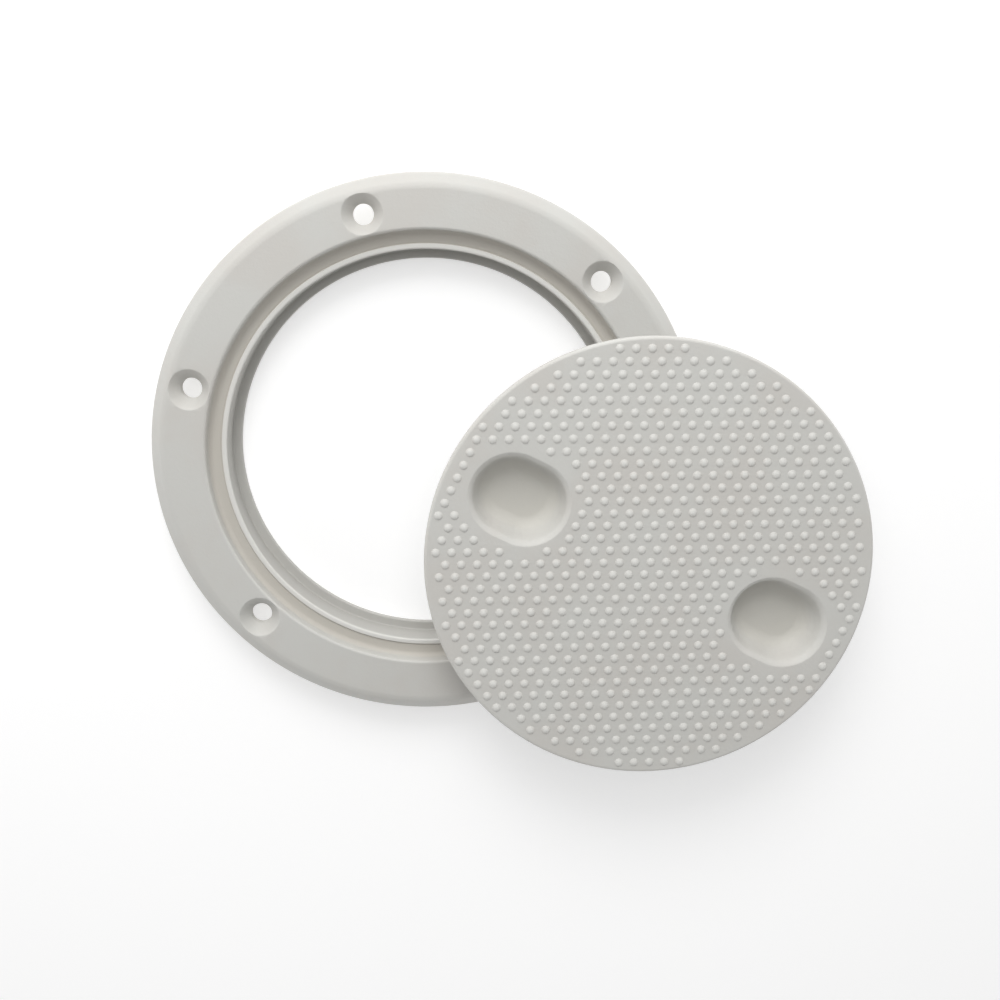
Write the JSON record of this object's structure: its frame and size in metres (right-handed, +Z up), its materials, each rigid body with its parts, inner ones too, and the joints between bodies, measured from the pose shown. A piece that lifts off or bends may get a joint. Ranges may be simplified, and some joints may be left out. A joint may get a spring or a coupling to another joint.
{
  "type": "deck inspection plate",
  "caption": "Round white plastic deck plate: a screwed-down ring with a recess and a clear opening, and a studded push-in cover with finger cups, lifted out and lying on it.",
  "frame": {"origin": "on the ring's axis, in the plane of the deck that its flange is screwed to", "axes": "+Z up along the ring's axis, out of the deck; +X through one screw hole, towards the side where the cover lies"},
  "size_m": [0.1875, 0.142, 0.0275],
  "materials": {
    "ring_plastic": "matte",
    "cover_plastic": "matte",
    "gasket_rubber": "matte"
  },
  "bodies": {
    "root": {"mounting_ring": "ring_plastic", "cover": "cover_plastic", "cover_gasket": "gasket_rubber"}
  },
  "joints": []
}
